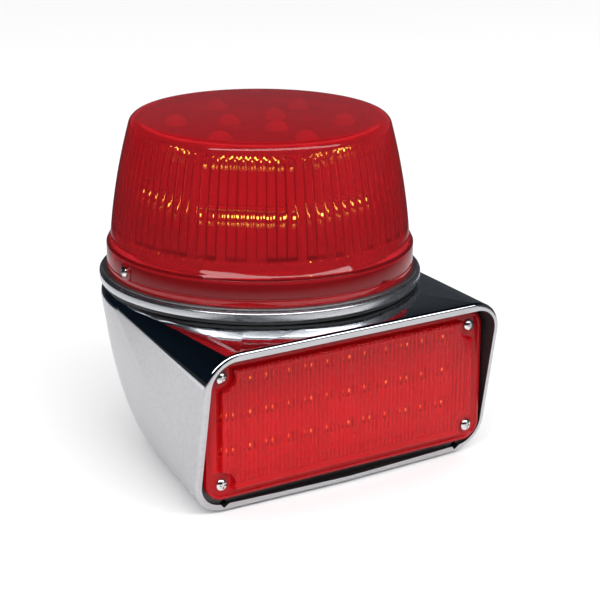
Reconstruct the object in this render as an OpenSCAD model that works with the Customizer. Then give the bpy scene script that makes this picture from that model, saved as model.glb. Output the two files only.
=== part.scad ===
// Corner-mounted warning beacon: a red fluted dome over a two-tier LED column, on a
// polished cast housing with a rectangular LED lamp in its raked front lip.
// Origin: centre of the base plate's underside. +Z up, lamp faces -Y. Millimetres.

/* [Housing] */
// Height of the housing's top deck seat above the base
seat_z = 97; // [95:1:100]
// Distance of the beacon's axis behind the base centre
axis_y = 19; // [17:1:21]
// Outer radius of the housing under the beacon
deck_r = 89.5; // [88.5:0.5:90.5]
// Radius of the flat round base
base_r = 62; // [60:1:64]
// Wall thickness of the casting
wall = 4; // [3.5:0.5:5]
// Rake of the lamp lip from vertical, in degrees
lip_rake = 10.2; // [8:0.2:12]
// Half width of the lip's outer outline
lip_half = 94.6; // [93:0.2:96]

/* [Lamp] */
// Width of the lamp's lens flange
lamp_w = 178; // [174:1:180]
// Height of the lamp's lens flange
lamp_h = 76.2; // [74:0.2:77]
// Distance between lamp screws, left to right
screw_dx = 160; // [158:1:161]
// Distance between lamp screws, up and down
screw_dz = 58.8; // [57:0.2:60]
// Height of the lamp's centre above the base
lamp_z = 48.2; // [47:0.2:49]

/* [Beacon] */
// Outer radius of the collar ring
collar_r = 90; // [89:0.5:91]
// Outer radius of the dome's skirt
skirt_r = 85.8; // [85.4:0.2:86]
// Wall thickness of the dome
dome_t = 2.7; // [2.4:0.1:3]
// Distance from the axis to a flat of the LED column
column_flat = 45; // [42:1:46]
// Height of the lower LED tier above the deck seat
tier_low = 46; // [42:1:50]
// Height of the upper LED tier above the deck seat
tier_high = 77; // [70:1:77]

/* [Base] */
// Distance between the vehicle bolts, both ways
bolt_pitch = 60; // [54:1:62]
// Radius of a vehicle bolt hole
bolt_hole_r = 3.3; // [2.2:0.1:3.4]
// Radius of the cable hole in the grommet
cable_r = 4.5; // [3:0.5:5]

/* [Hidden] */
$fn = 96;
skin = 0.02;                     // thickness of a slice that only shapes a hull
eps = 0.5;                       // how far a cutter runs past a face
cut45 = 1 - cos(45);             // how far a quarter round's middle stands off its corner

// Housing profile. Slices run from the deck (t = 0) down to the base (t = 1).
deck_z = seat_z - 1;
edge_r = 7;                      // rounding round the deck's rim
slices = 10;
slice_fn = 44;
shape_z = deck_z - edge_r;
function slice_t(i) = sin(90 * i / slices);
function slice_r(t) = base_r + (deck_r - base_r) * sqrt(1 - t * t);
flank_lean = 2;                  // how far the flank's slices sit forward of the deck
function slice_y(i) = i == 0 ? axis_y : (axis_y - flank_lean) * (1 - slice_t(i));

// Lip, measured from its upper inner edge
lip_y = -81.2;
lip_z = 89.3;
lip_top = 4.4;
lip_bottom = 89.8;
lip_corner = 20;
lip_round = 2.1;
mouth_half = 91.2;
mouth_h = 83.6;
mouth_corner = 14;
weep_x = 76;
weep_size = 3.6;
weep_y = lip_y + 14;
hollow_side = 300;
hollow_drop = 3;
hollow_in = 2;                   // how far the hollow's front stands inside the mouth

// Lamp planes, front to back along Y
flange_y = -69.5;
flange_t = 3;
lamp_gasket_t = 2;
seat_y = flange_y + flange_t + lamp_gasket_t;
seat_t = 4;
optic_proud = 3.5;
optic_w = 162;
optic_h = 66;
optic_wall = 2.5;
optic_scoop_r = 7;
scoop_reach = 12;                // how far a scoop is cut outwards of its screw
lamp_flange_r = 10;
lamp_screw_r = 1.7;
lamp_head_r = 3.3;
boss_r = 5.5;
boss_back = 8;                   // how far a screw boss stands behind the seat
screw_depth = 6;
fit_gap = 0.6;
body_w = 168;
body_h = 69;
body_depth = 24;
body_wall = 2.4;
body_back = seat_y + body_depth;
board_t = 1.6;
led_size = 3.4;
led_t = 1.2;
board_gap = 6;                   // between the lamp board and the body's back wall
board_front = body_back - body_wall - board_gap;
inner_w = 146;
inner_h = 60;
lamp_reflector_t = 9;
cup_small_r = 3;
cup_large_r = 6;
board_hole_x = 66;
board_hole_r = 1.6;
lamp_rows = 3;
lamp_cols = 12;
lamp_pitch_x = 12.5;
lamp_pitch_z = 19;

// Beacon levels, above the base
gasket_top = seat_z + 1;
collar_top = seat_z + 6.2;
flange_top = seat_z + 7.6;
pan_top = seat_z + 9;
rim_top = seat_z + 21;
shoulder_z = rim_top + 1.2;
dome_base = seat_z + 7.6;
skirt_top = seat_z + 22.5;
wall_z = seat_z + 27;
crown_z = seat_z + 91.9;
apex_z = seat_z + 95.6;
rim_r = 82.6;
rim_in = 79.5;
collar_in = 68;
wall_r = 83.3;
wall_taper = 5.5;                // the wall draws in by taper and belly over its height
wall_belly = 5.9;
crown_r = 70;
rim_corner = 2;
corner_r = 6;                    // rounding between the dome's wall and its crown
corner_in = 66.7;                // radius and drop of that rounding's centre
corner_drop = 5.7;
corner_from = 15.4;              // the lean of the wall, and the slope of the crown from upright
corner_to = 84;
side_share = 0.955;              // how much of the wall's height lies below the rounding
dome_screw_z = seat_z + 15.4;
dome_hole_r = 1.7;
dome_boss_r = 5.5;
gasket_r = 88.6;
bolt_r = 74;
bolt_clear_r = 2.8;
bolt_tap_r = 2.5;
deck_boss_r = 6;
deck_boss_h = 10;
deck_hole_r = 58;
pan_hole_r = 12;
pan_lug_r = 4.5;

// Column
face_turn = 20;                  // turn of the column about the axis
column_wall = 3;
column_bottom = pan_top;
column_top = seat_z + 83;
board_w = 44;
board_h = 11.5;
led_count = 8;
led_pitch = 5.2;
reflector_t = 4;
trough_half = 2.6;               // half height of a reflector's gap at the board
trough_lip = 1;
rod_place_r = 26;
rod_r = 2;
nut_r = 3.6;
nut_h = 2.4;
driver_z = seat_z + 16;
driver_r = 33;
standoff_in = 5;                 // how far the standoffs stand inside the board's edge
standoff_r = 2.8;
chip_size = [9, 9, 2];
switch_size = [10, 6, 3];
can_r = 4;
can_h = 10;
coil_r = 5;
coil_h = 5;
top_plate_r = 60;
top_plate_t = 2;
cap_r = 6.5;
cap_h = 5;
cap_ball_r = 8;
cap_sink = 3;
cap_ring_r = 46;
cap_inner_r = 17;

// Base
plate_r = 54;
plate_t = 3;
floor_hole_r = 50;
plate_screw_r = 49;
post_r = 5;
post_h = 9;
csink_r = 3.9;
csink_t = 1.8;
grommet_r = 8;
grommet_lip = 2;
grommet_h = 4;

// Wiring held inside
term_y = 28;
term_w = 22;
term_d = 12;
term_h = 12;
term_hole_r = 2.3;
lead_r = 1.5;
lead_gap = 7;
wire_z = plate_t + 4;
lamp_lead_x = -14;
pan_lead_y = axis_y + 8;

// ---------- shared shapes ----------

module rounded_square(w, h, r) {
    union() {
        square([w - 2 * r, h], center = true);
        square([w, h - 2 * r], center = true);
        for (sx = [-1, 1]) for (sz = [-1, 1])
            translate([sx * (w / 2 - r), sz * (h / 2 - r)]) circle(r);
    }
}

// Extrudes a drawing in X-Z along Y, from y0 (front) to y1 (back)
module along_y(y0, y1) {
    translate([0, y1, lamp_z]) rotate([90, 0, 0]) linear_extrude(y1 - y0) children();
}

module at_axis(z = 0) {
    translate([0, axis_y, z]) children();
}

module at_lamp_screws() {
    for (sx = [-1, 1]) for (sz = [-1, 1])
        translate([sx * screw_dx / 2, 0, lamp_z + sz * screw_dz / 2]) children();
}

// A rectangle with its corners scooped clear of the lamp's screws
module scooped_outline(w, h, scoop_r) {
    difference() {
        square([w, h], center = true);
        for (sx = [-1, 1]) for (sz = [-1, 1]) translate([sx * screw_dx / 2, sz * screw_dz / 2]) {
            circle(scoop_r);
            translate([sx * scoop_reach / 2, sz * scoop_reach / 2])
                square(scoop_reach, center = true);
        }
    }
}

module body_outline(gap) {
    scooped_outline(body_w + 2 * gap, body_h + 2 * gap, boss_r + 1 - gap);
}

module optic_outline(inset) {
    scooped_outline(optic_w - 2 * inset, optic_h - 2 * inset, optic_scoop_r + inset);
}

// Places children at the four bolts through the collar, and at the four base plate screws
module at_bolts(z) {
    for (a = [45 : 90 : 315]) at_axis(z) rotate([0, 0, a]) translate([bolt_r, 0, 0]) children();
}

module at_plate_screws(z) {
    for (a = [0 : 90 : 270]) rotate([0, 0, a]) translate([plate_screw_r, 0, z]) children();
}

// Places children at the dome's two side screws, with +Z outwards, at radius r
module at_dome_screws(r) {
    for (a = [0, 180]) at_axis(dome_screw_z) rotate([0, 0, a]) translate([r, 0, 0])
        rotate([0, 90, 0]) children();
}

// Places children at the column's three tie rods
module at_rods(z) {
    for (a = [90 : 120 : 330]) at_axis(z) rotate([0, 0, a]) translate([rod_place_r, 0, 0]) children();
}

module ring(outer, inner, z0, z1) {
    at_axis(z0) difference() {
        cylinder(r = outer, h = z1 - z0);
        translate([0, 0, -eps]) cylinder(r = inner, h = z1 - z0 + 2 * eps);
    }
}

// A pan-head screw: head on +Z, cross recess, shank on -Z
module pan_screw(head_r, head_h, shank_r, shank_l) {
    difference() {
        union() {
            intersection() {
                cylinder(r = head_r, h = head_h, $fn = 48);
                translate([0, 0, head_h - head_r * 1.5]) sphere(r = head_r * 1.5, $fn = 48);
            }
            translate([0, 0, -shank_l]) cylinder(r = shank_r, h = shank_l + 0.2, $fn = 32);
        }
        for (a = [0, 90]) rotate([0, 0, a])
            translate([0, 0, head_h]) cube([head_r * 1.1, head_r * 0.28, head_h], center = true);
    }
}

// ---------- housing ----------

module lip_outline(inset, back) {
    h = lip_top + lip_bottom - 2 * inset;
    translate([0, lip_y, lip_z]) rotate([90 + lip_rake, 0, 0])
        translate([0, (lip_top - lip_bottom) / 2, -back - skin]) linear_extrude(skin)
            rounded_square(2 * (lip_half - inset), h, lip_corner - inset, $fn = 32);
}

module housing_form() {
    hull() {
        at_axis(deck_z - skin) cylinder(r = deck_r - edge_r, h = skin, $fn = slice_fn);
        at_axis(deck_z - edge_r * cut45)
            cylinder(r = deck_r - edge_r * cut45, h = skin, $fn = slice_fn);
        for (i = [0 : slices])
            translate([0, slice_y(i), shape_z * (1 - slice_t(i))])
                cylinder(r = slice_r(slice_t(i)), h = skin, $fn = slice_fn);
        lip_outline(lip_round, 0);
        lip_outline(lip_round * cut45, lip_round * cut45);
        lip_outline(0, lip_round);
    }
}

module housing_hollow() {
    front = seat_y + seat_t;
    intersection() {
        translate([-hollow_side / 2, front, 0]) cube([hollow_side, hollow_side, deck_z]);
        hull() {
            at_axis(deck_z - wall - skin)
                cylinder(r = deck_r - edge_r - wall, h = skin, $fn = slice_fn);
            for (i = [0 : 2 : slices])
                translate([0, slice_y(i), wall + (shape_z - wall - hollow_drop) * (1 - slice_t(i))])
                    cylinder(r = slice_r(slice_t(i)) - wall, h = skin, $fn = slice_fn);
            along_y(front, front + skin) rounded_square(
                2 * (mouth_half - hollow_in), mouth_h - 2 * hollow_in, mouth_corner, $fn = 32);
        }
    }
}

module housing_casting() color("silver") {
    mouth_mid = lip_z - mouth_h / 2 - lamp_z;
    difference() {
        union() {
            difference() {
                housing_form();
                housing_hollow();
            }
            at_lamp_screws() translate([0, seat_y + seat_t + boss_back, 0]) rotate([90, 0, 0])
                cylinder(r = boss_r, h = boss_back + seat_t / 2, $fn = 48);
            at_bolts(deck_z - deck_boss_h - wall / 2)
                cylinder(r = deck_boss_r, h = deck_boss_h, $fn = 48);
            at_plate_screws(plate_t) cylinder(r = post_r, h = post_h, $fn = 48);
        }
        along_y(lip_y - 20, seat_y) translate([0, mouth_mid])
            rounded_square(2 * mouth_half, mouth_h, mouth_corner);
        along_y(seat_y - eps, seat_y + seat_t + eps) body_outline(fit_gap);
        at_lamp_screws() translate([0, seat_y + seat_t + screw_depth, 0]) rotate([90, 0, 0])
            cylinder(r = lamp_screw_r, h = 2 * screw_depth, $fn = 32);
        at_axis(deck_z - 20) cylinder(r = deck_hole_r, h = 20 + eps);
        at_bolts(deck_z - deck_boss_h)
            cylinder(r = bolt_tap_r, h = deck_boss_h + eps, $fn = 32);
        translate([0, 0, -eps]) cylinder(r = plate_r + 0.2, h = plate_t + eps);
        difference() {
            translate([0, 0, plate_t - eps]) cylinder(r = floor_hole_r, h = wall + 1);
            at_plate_screws(0) cylinder(r = post_r, h = 20, $fn = 48);
        }
        at_plate_screws(plate_t - eps) cylinder(r = 1.7, h = post_h - 1, $fn = 32);
        for (sx = [-1, 1]) translate([sx * weep_x, weep_y, lip_z - mouth_h]) rotate([0, 45, 0])
            cube([weep_size, 12, weep_size], center = true);
    }
}

module base_plate() color("gainsboro") {
    difference() {
        cylinder(r = plate_r, h = plate_t);
        for (sx = [-1, 1]) for (sy = [-1, 1])
            translate([sx * bolt_pitch / 2, sy * bolt_pitch / 2, -eps])
                cylinder(r = bolt_hole_r, h = plate_t + 2 * eps, $fn = 48);
        at_plate_screws(-eps) {
            cylinder(r = 2, h = plate_t + 2 * eps, $fn = 32);
            cylinder(r = csink_r, h = csink_t + eps, $fn = 48);
        }
        translate([0, 0, -eps]) cylinder(r = grommet_r, h = plate_t + 2 * eps);
    }
}

module base_plate_screws() color("dimgray") {
    at_plate_screws(csink_t) rotate([180, 0, 0]) pan_screw(3.4, 1.6, 1.6, 7);
}

module cable_grommet() color("black") {
    rotate_extrude() polygon([
        [cable_r, 0.2],
        [grommet_r - 0.1, 0.2],
        [grommet_r - 0.1, plate_t],
        [grommet_r + grommet_lip, plate_t],
        [grommet_r + grommet_lip, plate_t + 1.8],
        [cable_r + 1.5, plate_t + grommet_h],
        [cable_r, plate_t + grommet_h]
    ]);
}

// ---------- wiring held inside ----------

module terminal_block() color("ivory") {
    difference() {
        translate([-term_w / 2, term_y - term_d / 2, plate_t]) cube([term_w, term_d, term_h]);
        for (i = [-1 : 1]) translate([i * lead_gap, term_y, wire_z]) {
            cylinder(r = term_hole_r, h = term_h, $fn = 24);
            rotate([90, 0, 0]) cylinder(r = lead_r, h = term_d + 1, center = true, $fn = 24);
        }
    }
}

module terminal_screws() color("lightgray") {
    for (i = [-1 : 1]) translate([i * lead_gap, term_y, wire_z + lead_r + 0.5]) difference() {
        cylinder(r = term_hole_r - 0.2, h = 4, $fn = 24);
        translate([0, 0, 4]) cube([5, 0.6, 1.2], center = true);
    }
}

// A point on the smooth curve through points p, at u from 0 to 1 between p[i] and p[i + 1]
function curve_at(p, i, u) =
    let(a = p[max(i - 1, 0)], b = p[i], c = p[i + 1], d = p[min(i + 2, len(p) - 1)])
    0.5 * (2 * b + (c - a) * u + (2 * a - 5 * b + 4 * c - d) * u * u
        + (3 * b - a - 3 * c + d) * u * u * u);

// A round lead swept along the smooth curve through points
module lead(points) {
    sides = 8;
    steps = 5;
    path = [for (i = [0 : len(points) - 2]) for (k = [0 : steps - 1]) curve_at(points, i, k / steps),
            points[len(points) - 1]];
    last = len(path) - 1;
    rings = [for (i = [0 : last]) let(
        along = path[min(i + 1, last)] - path[max(i - 1, 0)],
        t = along / norm(along),
        across = cross(t, [1, 0.01, 0]),
        v = across / norm(across),
        w = cross(t, v))
        for (k = [0 : sides - 1]) let(a = 360 * k / sides)
            path[i] + lead_r * (cos(a) * v + sin(a) * w)];
    polyhedron(rings, concat(
        [[for (k = [0 : sides - 1]) sides - 1 - k]],
        [for (i = [0 : last - 1]) for (k = [0 : sides - 1]) let(m = (k + 1) % sides)
            [i * sides + k, i * sides + m, (i + 1) * sides + m, (i + 1) * sides + k]],
        [[for (k = [0 : sides - 1]) last * sides + k]]));
}

module lamp_lead() color("firebrick") {
    lead([
        [-lead_gap, term_y - 3, wire_z],
        [-lead_gap, term_y - 12, wire_z + 2],
        [lamp_lead_x, term_y - 24, wire_z + 12],
        [lamp_lead_x, body_back + 14, lamp_z - 4],
        [lamp_lead_x, body_back, lamp_z],
        [lamp_lead_x, board_front + board_t, lamp_z]
    ]);
}

module beacon_lead() color("firebrick") {
    lead([
        [lead_gap, term_y + 3, wire_z],
        [lead_gap + 1, term_y + 9, wire_z + 2],
        [lead_gap + 6, term_y + 13, wire_z + 14],
        [lead_gap + 6, term_y + 13, seat_z - 30],
        [2, pan_lead_y + 3, seat_z - 8],
        [0, pan_lead_y, seat_z + 4],
        [0, pan_lead_y, driver_z + board_t]
    ]);
}

// ---------- lamp ----------

module lamp_gasket() color("black") {
    along_y(flange_y + flange_t, seat_y) difference() {
        rounded_square(lamp_w - 2, lamp_h - 2, lamp_flange_r - 1);
        body_outline(fit_gap);
        for (sx = [-1, 1]) for (sz = [-1, 1])
            translate([sx * screw_dx / 2, sz * screw_dz / 2]) circle(lamp_screw_r + 0.2, $fn = 32);
    }
}

module lamp_body() color("dimgray") {
    front = flange_y + flange_t;
    difference() {
        along_y(front, body_back) body_outline(0);
        along_y(front - eps, body_back - body_wall) body_outline(-body_wall);
        translate([lamp_lead_x, body_back + eps, lamp_z]) rotate([90, 0, 0])
            cylinder(r = lead_r + 0.2, h = body_wall + 2 * eps, $fn = 24);
    }
}

module lamp_board() color("darkgreen") {
    difference() {
        along_y(board_front, board_front + board_t) square([inner_w, inner_h], center = true);
        for (sx = [-1, 1]) translate([sx * board_hole_x, board_front, lamp_z])
            rotate([-90, 0, 0]) cylinder(r = board_hole_r, h = 6, center = true, $fn = 24);
    }
}

module lamp_grid() {
    for (i = [0 : lamp_cols - 1]) for (j = [0 : lamp_rows - 1])
        translate([
            (i - (lamp_cols - 1) / 2) * lamp_pitch_x,
            board_front,
            lamp_z + (j - (lamp_rows - 1) / 2) * lamp_pitch_z
        ]) children();
}

module lamp_emitters() color("orange") {
    lamp_grid() translate([0, -led_t / 2, 0]) cube([led_size, led_t, led_size], center = true);
}

module lamp_reflector() color("gainsboro") {
    difference() {
        along_y(board_front - lamp_reflector_t, board_front - led_t - 0.2)
            square([inner_w, inner_h], center = true);
        lamp_grid() rotate([90, 0, 0])
            cylinder(r1 = cup_small_r, r2 = cup_large_r, h = lamp_reflector_t + eps, $fn = 36);
    }
}

module lamp_lens() color([0.75, 0.03, 0.04]) {
    difference() {
        union() {
            along_y(flange_y, flange_y + flange_t) rounded_square(lamp_w, lamp_h, lamp_flange_r);
            along_y(flange_y - optic_proud, flange_y + 1) optic_outline(0);
        }
        along_y(flange_y - optic_proud + optic_wall, flange_y + flange_t + eps)
            optic_outline(optic_wall);
        at_lamp_screws() translate([0, flange_y, 0]) rotate([90, 0, 0])
            cylinder(r = lamp_screw_r + 0.2, h = 20, center = true, $fn = 32);
    }
}

module lamp_screws() color("lightgray") {
    at_lamp_screws() translate([0, flange_y, 0]) rotate([90, 0, 0])
        pan_screw(lamp_head_r, 2.4, lamp_screw_r - 0.1, 11);
}

// ---------- beacon: base ----------

module collar_gasket() color("black") {
    difference() {
        ring(gasket_r, collar_in, deck_z, gasket_top);
        at_bolts(deck_z - eps) cylinder(r = bolt_clear_r, h = 4, $fn = 32);
    }
}

module collar_ring() color("silver") {
    difference() {
        at_axis() rotate_extrude() polygon([
            [collar_in, gasket_top],
            [collar_r - 0.6, gasket_top],
            [collar_r, gasket_top + 0.6],
            [collar_r, collar_top - 1.6],
            [collar_r - 0.5, collar_top - 0.5],
            [collar_r - 1.6, collar_top],
            [collar_in, collar_top]
        ]);
        at_bolts(gasket_top - eps) cylinder(r = bolt_clear_r, h = 10, $fn = 32);
    }
}

module beacon_base() color("gray") {
    difference() {
        union() {
            at_axis() rotate_extrude() polygon([
                [pan_hole_r, collar_top],
                [collar_r - 3, collar_top],
                [collar_r - 3, collar_top + 0.4],
                [collar_r - 1.8, collar_top + 0.4],
                [collar_r - 1.8, flange_top - 0.3],
                [collar_r - 2.1, flange_top - 0.05],
                [rim_r, flange_top - 0.05],
                [rim_r, rim_top],
                [rim_in, rim_top],
                [rim_in, pan_top],
                [pan_hole_r, pan_top]
            ]);
            at_dome_screws(rim_in - 4) cylinder(r = pan_lug_r, h = 5, $fn = 48);
        }
        at_bolts(collar_top - eps) cylinder(r = bolt_clear_r, h = 10, $fn = 32);
        at_dome_screws(rim_in - 5) cylinder(r = 1.5, h = 10, $fn = 32);
    }
}

module beacon_bolts() color("lightgray") {
    at_bolts(pan_top) pan_screw(4.4, 2.8, 2.4, 18);
}

module at_standoffs(z) {
    for (a = [30 : 120 : 270]) at_axis(z) rotate([0, 0, a]) translate([driver_r - standoff_in, 0, 0])
        children();
}

module driver_board() color("darkgreen") {
    difference() {
        at_axis(driver_z) cylinder(r = driver_r, h = board_t);
        at_standoffs(driver_z - eps) cylinder(r = board_hole_r, h = 3, $fn = 24);
        at_rods(driver_z - eps) cylinder(r = rod_r + 0.4, h = 3, $fn = 24);
        translate([0, pan_lead_y, driver_z - eps]) cylinder(r = lead_r + 0.2, h = 3, $fn = 24);
    }
}

module driver_parts() color("black") {
    at_axis(driver_z + board_t) {
        translate([-12, -14, 0]) cube(chip_size);
        translate([6, -15, 0]) cube(switch_size);
        for (x = [-14, 14]) translate([x, 3, 0]) cylinder(r = can_r, h = can_h, $fn = 32);
        translate([0, -2, 0]) cylinder(r = coil_r, h = coil_h, $fn = 32);
    }
}

module board_standoffs() color("goldenrod") {
    at_standoffs(pan_top) difference() {
        cylinder(r = standoff_r, h = driver_z - pan_top, $fn = 6);
        translate([0, 0, 2]) cylinder(r = 1.2, h = 10, $fn = 24);
    }
}

// ---------- beacon: LED column ----------

// Places children on each of the six faces, with +Z up and -Y outwards
module on_faces(z) {
    for (k = [0 : 5]) at_axis(z) rotate([0, 0, face_turn + k * 60])
        translate([0, -column_flat, 0]) children();
}

module led_column() color("darkgray") {
    tall = column_top - column_bottom;
    at_axis(column_bottom) rotate([0, 0, face_turn]) difference() {
        cylinder(r = column_flat / cos(30), h = tall, $fn = 6);
        translate([0, 0, -eps])
            cylinder(r = (column_flat - column_wall) / cos(30), h = tall + 2 * eps, $fn = 6);
    }
}

module boards(z) {
    on_faces(z) translate([0, -board_t / 2, 0]) cube([board_w, board_t, board_h], center = true);
}

module emitters(z) {
    on_faces(z) for (i = [0 : led_count - 1])
        translate([(i - (led_count - 1) / 2) * led_pitch, -board_t - led_t / 2, 0])
            cube([led_size, led_t, led_size], center = true);
}

// A trough with flared upper and lower walls either side of a row of LEDs
module reflectors(z) {
    on_faces(z) for (s = [0, 1]) mirror([0, 0, s])
        translate([-board_w / 2, -board_t, 0]) rotate([90, 0, 90]) linear_extrude(board_w)
            polygon([
                [0, trough_half],
                [0, board_h / 2],
                [-reflector_t, board_h / 2],
                [-reflector_t, board_h / 2 - trough_lip]
            ]);
}

module lower_boards() color("darkgreen") boards(seat_z + tier_low);
module lower_emitters() color("orange") emitters(seat_z + tier_low);
module lower_reflectors() color("gainsboro") reflectors(seat_z + tier_low);
module upper_boards() color("darkgreen") boards(seat_z + tier_high);
module upper_emitters() color("orange") emitters(seat_z + tier_high);
module upper_reflectors() color("gainsboro") reflectors(seat_z + tier_high);

module tie_rods() color("lightgray") {
    at_rods(pan_top) cylinder(r = rod_r, h = column_top + top_plate_t - pan_top, $fn = 32);
}

module tie_nuts() color("lightgray") {
    at_rods(column_top + top_plate_t) cylinder(r = nut_r, h = nut_h, $fn = 6);
}

module top_plate() color("gainsboro") {
    difference() {
        at_axis(column_top) cylinder(r = top_plate_r, h = top_plate_t);
        at_rods(column_top - eps) cylinder(r = rod_r, h = top_plate_t + 2 * eps, $fn = 32);
    }
}

module cap() {
    intersection() {
        cylinder(r = cap_r, h = cap_h, $fn = 48);
        translate([0, 0, -cap_sink]) sphere(r = cap_ball_r, $fn = 48);
    }
}

module top_caps() color("ivory") {
    at_axis(column_top + top_plate_t) {
        for (k = [0 : 5]) rotate([0, 0, 30 + 60 * k]) translate([cap_ring_r, 0, 0]) cap();
        for (k = [0 : 2]) rotate([0, 0, 30 + 120 * k]) translate([cap_inner_r, 0, 0]) cap();
    }
}

// ---------- beacon: dome ----------

function wall_at(u) = wall_r - wall_taper * u - wall_belly * u * u;

module dome_outline(inset) {
    steps = 12;
    crown = [for (i = [0 : steps]) let(r = corner_in * (1 - i / steps))
        [r, crown_z - inset + (apex_z - crown_z) * (1 - pow(r / crown_r, 2))]];
    side = [for (i = [0 : steps]) let(u = side_share * i / steps)
        [wall_at(u) - inset, wall_z + (crown_z - rim_corner - wall_z) * u]];
    corner = [for (i = [0 : steps]) let(a = corner_from + (corner_to - corner_from) * i / steps)
        [corner_in + (corner_r - inset) * cos(a), crown_z - corner_drop + (corner_r - inset) * sin(a)]];
    polygon(concat(inset == 0
        ? [[0, dome_base], [skirt_r, dome_base], [skirt_r, skirt_top - 1],
           [skirt_r - 0.5, skirt_top + 1.5], [wall_r + 0.8, wall_z - 1]]
        : [[0, dome_base - eps], [rim_r + 0.4, dome_base - eps], [rim_r + 0.4, shoulder_z],
           [wall_r - inset, shoulder_z]],
        side, corner, crown));
}

module dome_lens() color([0.75, 0.03, 0.04]) {
    difference() {
        union() {
            at_axis() rotate_extrude() dome_outline(0);
            at_dome_screws(skirt_r - 2) cylinder(r = dome_boss_r, h = 2.4, $fn = 48);
        }
        at_axis() rotate_extrude() dome_outline(dome_t);
        at_dome_screws(skirt_r - 5) cylinder(r = dome_hole_r, h = 10, $fn = 32);
    }
}

module dome_gasket() color("black") {
    ring(rim_r, rim_in + 0.3, rim_top, shoulder_z);
}

module dome_screws() color("lightgray") {
    at_dome_screws(skirt_r + 0.4) pan_screw(3, 2.2, 1.4, 9);
}

housing_casting();
base_plate();
base_plate_screws();
cable_grommet();
terminal_block();
terminal_screws();
lamp_lead();
beacon_lead();
lamp_gasket();
lamp_body();
lamp_board();
lamp_emitters();
lamp_reflector();
lamp_lens();
lamp_screws();
collar_gasket();
collar_ring();
beacon_base();
beacon_bolts();
driver_board();
driver_parts();
board_standoffs();
led_column();
lower_boards();
lower_emitters();
lower_reflectors();
upper_boards();
upper_emitters();
upper_reflectors();
tie_rods();
tie_nuts();
top_plate();
top_caps();
dome_gasket();
dome_lens();
dome_screws();
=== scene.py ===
from math import cos, pi, radians, sin, sqrt

import bmesh
import bpy
from mathutils import Matrix, Vector


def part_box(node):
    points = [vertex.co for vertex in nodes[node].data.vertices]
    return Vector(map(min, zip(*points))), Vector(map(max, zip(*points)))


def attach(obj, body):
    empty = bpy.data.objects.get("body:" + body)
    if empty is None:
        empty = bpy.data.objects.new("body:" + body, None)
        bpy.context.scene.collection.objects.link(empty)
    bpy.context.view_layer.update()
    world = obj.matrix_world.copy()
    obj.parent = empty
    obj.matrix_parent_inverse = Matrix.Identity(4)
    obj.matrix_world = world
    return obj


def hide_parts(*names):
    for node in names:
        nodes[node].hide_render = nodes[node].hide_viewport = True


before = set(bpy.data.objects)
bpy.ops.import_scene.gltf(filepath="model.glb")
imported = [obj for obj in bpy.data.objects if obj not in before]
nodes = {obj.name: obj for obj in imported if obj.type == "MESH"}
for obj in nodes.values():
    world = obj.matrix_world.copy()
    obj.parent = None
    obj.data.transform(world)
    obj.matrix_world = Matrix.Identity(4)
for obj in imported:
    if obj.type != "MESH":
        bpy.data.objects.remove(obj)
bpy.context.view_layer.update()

# ---------- The camera ----------
# A long lens, a little over a metre from the beacon, to the left of the lamp and above it.
# It aims close to the middle of the seam under the collar.
seam_low, seam_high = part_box("collar_gasket")
seam = (seam_low + seam_high) / 2
axis_x, axis_y = seam.xy
view_side, view_up, view_far = radians(32.47), radians(16.98), 1.130
aim_pan, aim_dip, aim_roll = radians(1.20), radians(0.735), radians(0.43)
lens_over_width, sensor_width = 3.342, 36

bpy.ops.object.camera_add()
camera = bpy.context.object
camera.name = "camera"
camera.data.sensor_width = sensor_width
camera.data.lens = sensor_width * lens_over_width
away = Vector((-sin(view_side) * cos(view_up), -cos(view_side) * cos(view_up), sin(view_up)))
camera.matrix_world = (
    Matrix.Translation(seam + view_far * away)
    @ Matrix.Rotation(-(view_side + aim_pan), 4, "Z")
    @ Matrix.Rotation(pi / 2 - (view_up + aim_dip), 4, "X")
    @ Matrix.Rotation(aim_roll, 4, "Z")
)
bpy.context.scene.camera = camera

# ---------- The housing casting ----------
# One aluminium sand casting: a bowl under the beacon that runs forward into a raked lip
# round the lamp. The deck, flanks and lip are polished; the pocket and inside stay as cast,
# and their colour is nearly black, as painted shade.
mm = 0.001
house_low, house_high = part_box("housing_casting")
deck_z = house_high.z
deck_r = 89.5 * mm
deck_edge = 7 * mm
base_r = 62 * mm
flank_lean = 2 * mm
wall = 4 * mm
ring_sides = 256
flank_rings = 30

rake = radians(10.2)
lip_at = Vector((0, -81.2 * mm, 89.3 * mm))
lip_out = Vector((0, -cos(rake), -sin(rake)))
lip_up = Vector((0, -sin(rake), cos(rake)))
lip_half, lip_top, lip_bottom = 94.6 * mm, 4.4 * mm, 89.8 * mm
lip_corner, lip_edge = 20 * mm, 2.1 * mm
mouth_half, mouth_h, mouth_corner = 91.2 * mm, 83.6 * mm, 14 * mm

flange_low, flange_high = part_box("lamp_lens")
gasket_low, gasket_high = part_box("lamp_gasket")
body_low, body_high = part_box("lamp_body")
lamp_z = (gasket_low.z + gasket_high.z) / 2
seat_y = gasket_high.y
screw_x, screw_z = 80 * mm, 29.4 * mm
corners = [(side, up) for side in (-1, 1) for up in (-1, 1)]


def clear():
    """Leaves edit mode with nothing selected."""
    if bpy.context.mode != "OBJECT":
        bpy.ops.object.mode_set(mode="OBJECT")
    bpy.ops.object.select_all(action="DESELECT")


def hold(piece):
    """Selects one piece and makes it the active one."""
    clear()
    piece.select_set(True)
    bpy.context.view_layer.objects.active = piece


def named(name):
    """Names the active piece and settles its place into its mesh."""
    piece = bpy.context.object
    hold(piece)
    bpy.ops.object.transform_apply(location=True, rotation=True, scale=True)
    piece.name = piece.data.name = name
    return piece


def settled(piece, name, replaced):
    """Names a finished piece, hangs it under the root body, and hides the node it stands for."""
    piece.name = piece.data.name = name
    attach(piece, "root")
    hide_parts(replaced)
    return piece


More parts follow.
